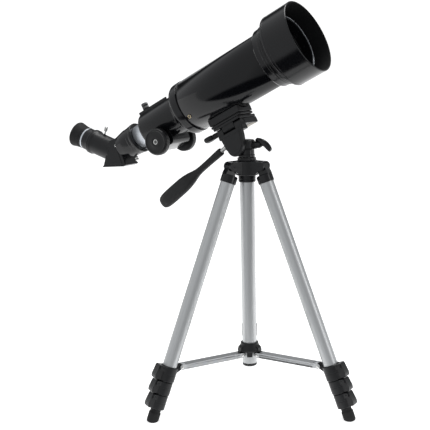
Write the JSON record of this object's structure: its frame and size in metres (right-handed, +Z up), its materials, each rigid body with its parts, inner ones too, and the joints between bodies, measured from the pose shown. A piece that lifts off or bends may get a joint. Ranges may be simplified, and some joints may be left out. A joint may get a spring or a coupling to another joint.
{
  "type": "telescope on tripod",
  "caption": "Small black refracting telescope with an angled eyepiece and rack focuser, on a pan and tilt head over a folded-down three-leg photo tripod.",
  "frame": {"origin": "Centre of the bounding box's base, on the floor plane the three feet stand on.", "axes": "+Z is up along the centre column. +X is the way the telescope points, seen from above. Y is the tilt hinge's direction, and -Y is the side of the pan handle."},
  "size_m": [0.4766, 0.2912, 0.5611],
  "materials": {
    "dew_shield": "glossy black outside, matte black inside",
    "lens_cell": "glossy black",
    "objective_lens": "coated clear glass",
    "main_tube": "gloss black paint",
    "focuser_body": "satin to gloss black",
    "finder_rail": "satin black",
    "focus_lock_screw": "dark grey knurled",
    "pinion_shaft": "bright steel",
    "focus_knob_near": "black moulded",
    "focus_knob_far": "black moulded",
    "drawtube": "satin silver",
    "diagonal_body": "satin black",
    "diagonal_clamp_screw": "dark metal",
    "eyepiece_body": "satin black",
    "eyecup": "soft black rubber",
    "eye_lens": "coated clear glass",
    "eyepiece_set_screw": "bright",
    "mounting_foot": "satin black",
    "camera_plate": "black moulded",
    "flip_platform": "black moulded",
    "flip_lock_knob": "black moulded",
    "tilt_body": "black moulded",
    "handle_rod": "satin silver",
    "handle_grip": "matte black with a fine grain",
    "pan_turret": "black moulded",
    "pan_lock_knob": "black moulded",
    "pan_neck": "black moulded",
    "elevator_column": "satin silver",
    "column_lock_ring": "black moulded",
    "hub": "black moulded",
    "column_tube": "satin silver",
    "column_cap": "black moulded",
    "brace_hub": "black moulded",
    "near_brace": "satin silver",
    "front_brace": "satin silver",
    "far_brace": "satin silver",
    "near_leg_knuckle": "black moulded",
    "near_leg_tube_1": "satin silver",
    "near_leg_lock_1": "black moulded",
    "near_leg_tube_2": "satin silver",
    "near_leg_lock_2": "black moulded",
    "near_leg_tube_3": "satin silver",
    "near_leg_lock_3": "black moulded",
    "near_leg_foot_section": "black moulded foot on a silver inner tube",
    "front_leg_knuckle": "black moulded",
    "front_leg_tube_1": "satin silver",
    "front_leg_lock_1": "black moulded",
    "front_leg_tube_2": "satin silver",
    "front_leg_lock_2": "black moulded",
    "front_leg_tube_3": "satin silver",
    "front_leg_lock_3": "black moulded",
    "front_leg_foot_section": "black moulded foot on a silver inner tube",
    "far_leg_knuckle": "black moulded",
    "far_leg_tube_1": "satin silver",
    "far_leg_lock_1": "black moulded",
    "far_leg_tube_2": "satin silver",
    "far_leg_lock_2": "black moulded",
    "far_leg_tube_3": "satin silver",
    "far_leg_lock_3": "black moulded",
    "far_leg_foot_section": "black moulded foot on a silver inner tube"
  },
  "bodies": {
    "tripod": {"hub": "hub", "column_tube": "column_tube", "column_cap": "column_cap", "brace_hub": "brace_hub", "near_brace": "near_brace", "front_brace": "front_brace", "far_brace": "far_brace", "near_leg_knuckle": "near_leg_knuckle", "near_leg_tube_1": "near_leg_tube_1", "near_leg_lock_1": "near_leg_lock_1", "front_leg_knuckle": "front_leg_knuckle", "front_leg_tube_1": "front_leg_tube_1", "front_leg_lock_1": "front_leg_lock_1", "far_leg_knuckle": "far_leg_knuckle", "far_leg_tube_1": "far_leg_tube_1", "far_leg_lock_1": "far_leg_lock_1"},
    "elevator": {"elevator_column": "elevator_column", "pan_neck": "pan_neck"},
    "column_ring": {"column_lock_ring": "column_lock_ring"},
    "pan_head": {"pan_turret": "pan_turret"},
    "pan_knob": {"pan_lock_knob": "pan_lock_knob"},
    "tilt_head": {"tilt_body": "tilt_body"},
    "handle": {"handle_rod": "handle_rod", "handle_grip": "handle_grip"},
    "flip_knob": {"flip_lock_knob": "flip_lock_knob"},
    "telescope": {"flip_platform": "flip_platform", "camera_plate": "camera_plate", "mounting_foot": "mounting_foot", "main_tube": "main_tube", "lens_cell": "lens_cell", "objective_lens": "objective_lens", "dew_shield": "dew_shield", "focuser_body": "focuser_body", "finder_rail": "finder_rail"},
    "focus_lock": {"focus_lock_screw": "focus_lock_screw"},
    "focus_drive": {"pinion_shaft": "pinion_shaft", "focus_knob_near": "focus_knob_near", "focus_knob_far": "focus_knob_far"},
    "drawtube": {"drawtube": "drawtube"},
    "diagonal": {"diagonal_body": "diagonal_body"},
    "diagonal_clamp": {"diagonal_clamp_screw": "diagonal_clamp_screw"},
    "eyepiece": {"eyepiece_body": "eyepiece_body", "eyecup": "eyecup", "eye_lens": "eye_lens"},
    "eyepiece_clamp": {"eyepiece_set_screw": "eyepiece_set_screw"},
    "near_section_2": {"near_leg_tube_2": "near_leg_tube_2", "near_leg_lock_2": "near_leg_lock_2"},
    "near_section_3": {"near_leg_tube_3": "near_leg_tube_3", "near_leg_lock_3": "near_leg_lock_3"},
    "near_section_4": {"near_leg_foot_section": "near_leg_foot_section"},
    "front_section_2": {"front_leg_tube_2": "front_leg_tube_2", "front_leg_lock_2": "front_leg_lock_2"},
    "front_section_3": {"front_leg_tube_3": "front_leg_tube_3", "front_leg_lock_3": "front_leg_lock_3"},
    "front_section_4": {"front_leg_foot_section": "front_leg_foot_section"},
    "far_section_2": {"far_leg_tube_2": "far_leg_tube_2", "far_leg_lock_2": "far_leg_lock_2"},
    "far_section_3": {"far_leg_tube_3": "far_leg_tube_3", "far_leg_lock_3": "far_leg_lock_3"},
    "far_section_4": {"far_leg_foot_section": "far_leg_foot_section"}
  },
  "joints": [
    {"name": "column_lift", "type": "slide", "parent": "tripod", "child": "elevator", "axis": [0, 0, 1], "range_m": [0, 0.19]},
    {"name": "column_ring_turn", "type": "hinge", "parent": "tripod", "child": "column_ring", "pos_m": [0.0739, 0, 0.3515], "axis": [0, 0, 1], "range_deg": [0, 180]},
    {"name": "pan_turn", "type": "hinge", "parent": "elevator", "child": "pan_head", "pos_m": [0.0739, 0, 0.366], "axis": [0, 0, 1], "continuous": true},
    {"name": "pan_knob_turn", "type": "hinge", "parent": "pan_head", "child": "pan_knob", "pos_m": [0.0939, 0, 0.3716], "axis": [1, 0, 0], "range_deg": [0, 180]},
    {"name": "tilt_turn", "type": "hinge", "parent": "pan_head", "child": "tilt_head", "pos_m": [0.0739, 0, 0.3733], "axis": [0, -1, 0], "range_deg": [-45, 18]},
    {"name": "handle_twist", "type": "hinge", "parent": "tilt_head", "child": "handle", "pos_m": [0.05054, -0.0162, 0.3684], "axis": [-0.7891, 0, -0.6143], "range_deg": [0, 180]},
    {"name": "platform_flip", "type": "hinge", "parent": "tilt_head", "child": "telescope", "pos_m": [0.05531, -0.013, 0.39477], "axis": [0.8957, 0, 0.4446], "range_deg": [0, 90]},
    {"name": "flip_knob_turn", "type": "hinge", "parent": "tilt_head", "child": "flip_knob", "pos_m": [0.03381, -0.013, 0.3841], "axis": [-0.8957, 0, -0.4446], "range_deg": [0, 180]},
    {"name": "focus_slide", "type": "slide", "parent": "telescope", "child": "drawtube", "axis": [-0.8957, 0, -0.4446], "range_m": [0, 0.055]},
    {"name": "focus_knob_turn", "type": "hinge", "parent": "telescope", "child": "focus_drive", "pos_m": [-0.05346, 0, 0.37461], "axis": [0, -1, 0], "range_deg": [0, 500]},
    {"name": "focus_lock_turn", "type": "hinge", "parent": "telescope", "child": "focus_lock", "pos_m": [-0.09823, 0, 0.42295], "axis": [-0.4446, 0, 0.8957], "range_deg": [0, 360]},
    {"name": "diagonal_turn", "type": "hinge", "parent": "drawtube", "child": "diagonal", "pos_m": [-0.10909, 0, 0.37736], "axis": [-0.8957, 0, -0.4446], "continuous": true},
    {"name": "diagonal_clamp_turn", "type": "hinge", "parent": "diagonal", "child": "diagonal_clamp", "pos_m": [-0.11812, 0, 0.34608], "axis": [0.4446, 0, -0.8957], "range_deg": [0, 360]},
    {"name": "eyepiece_slide", "type": "slide", "parent": "diagonal", "child": "eyepiece", "axis": [-0.9478, 0, 0.319], "range_m": [0, 0.03]},
    {"name": "eyepiece_clamp_turn", "type": "hinge", "parent": "diagonal", "child": "eyepiece_clamp", "pos_m": [-0.17576, 0, 0.38452], "axis": [0.319, 0, 0.9478], "range_deg": [0, 360]},
    {"name": "near_section_2_slide", "type": "slide", "parent": "tripod", "child": "near_section_2", "axis": [-0.1824, -0.316, -0.9311], "range_m": [0, 0.25]},
    {"name": "near_section_3_slide", "type": "slide", "parent": "near_section_2", "child": "near_section_3", "axis": [-0.1824, -0.316, -0.9311], "range_m": [0, 0.24]},
    {"name": "near_section_4_slide", "type": "slide", "parent": "near_section_3", "child": "near_section_4", "axis": [-0.1824, -0.316, -0.9311], "range_m": [0, 0.24]},
    {"name": "front_section_2_slide", "type": "slide", "parent": "tripod", "child": "front_section_2", "axis": [0.3649, 0, -0.9311], "range_m": [0, 0.25]},
    {"name": "front_section_3_slide", "type": "slide", "parent": "front_section_2", "child": "front_section_3", "axis": [0.3649, 0, -0.9311], "range_m": [0, 0.24]},
    {"name": "front_section_4_slide", "type": "slide", "parent": "front_section_3", "child": "front_section_4", "axis": [0.3649, 0, -0.9311], "range_m": [0, 0.24]},
    {"name": "far_section_2_slide", "type": "slide", "parent": "tripod", "child": "far_section_2", "axis": [-0.1824, 0.316, -0.9311], "range_m": [0, 0.25]},
    {"name": "far_section_3_slide", "type": "slide", "parent": "far_section_2", "child": "far_section_3", "axis": [-0.1824, 0.316, -0.9311], "range_m": [0, 0.24]},
    {"name": "far_section_4_slide", "type": "slide", "parent": "far_section_3", "child": "far_section_4", "axis": [-0.1824, 0.316, -0.9311], "range_m": [0, 0.24]}
  ],
  "couplings": [
    {"joint": "focus_knob_turn", "follows": "focus_slide", "rad_per_m": 157.48}
  ]
}
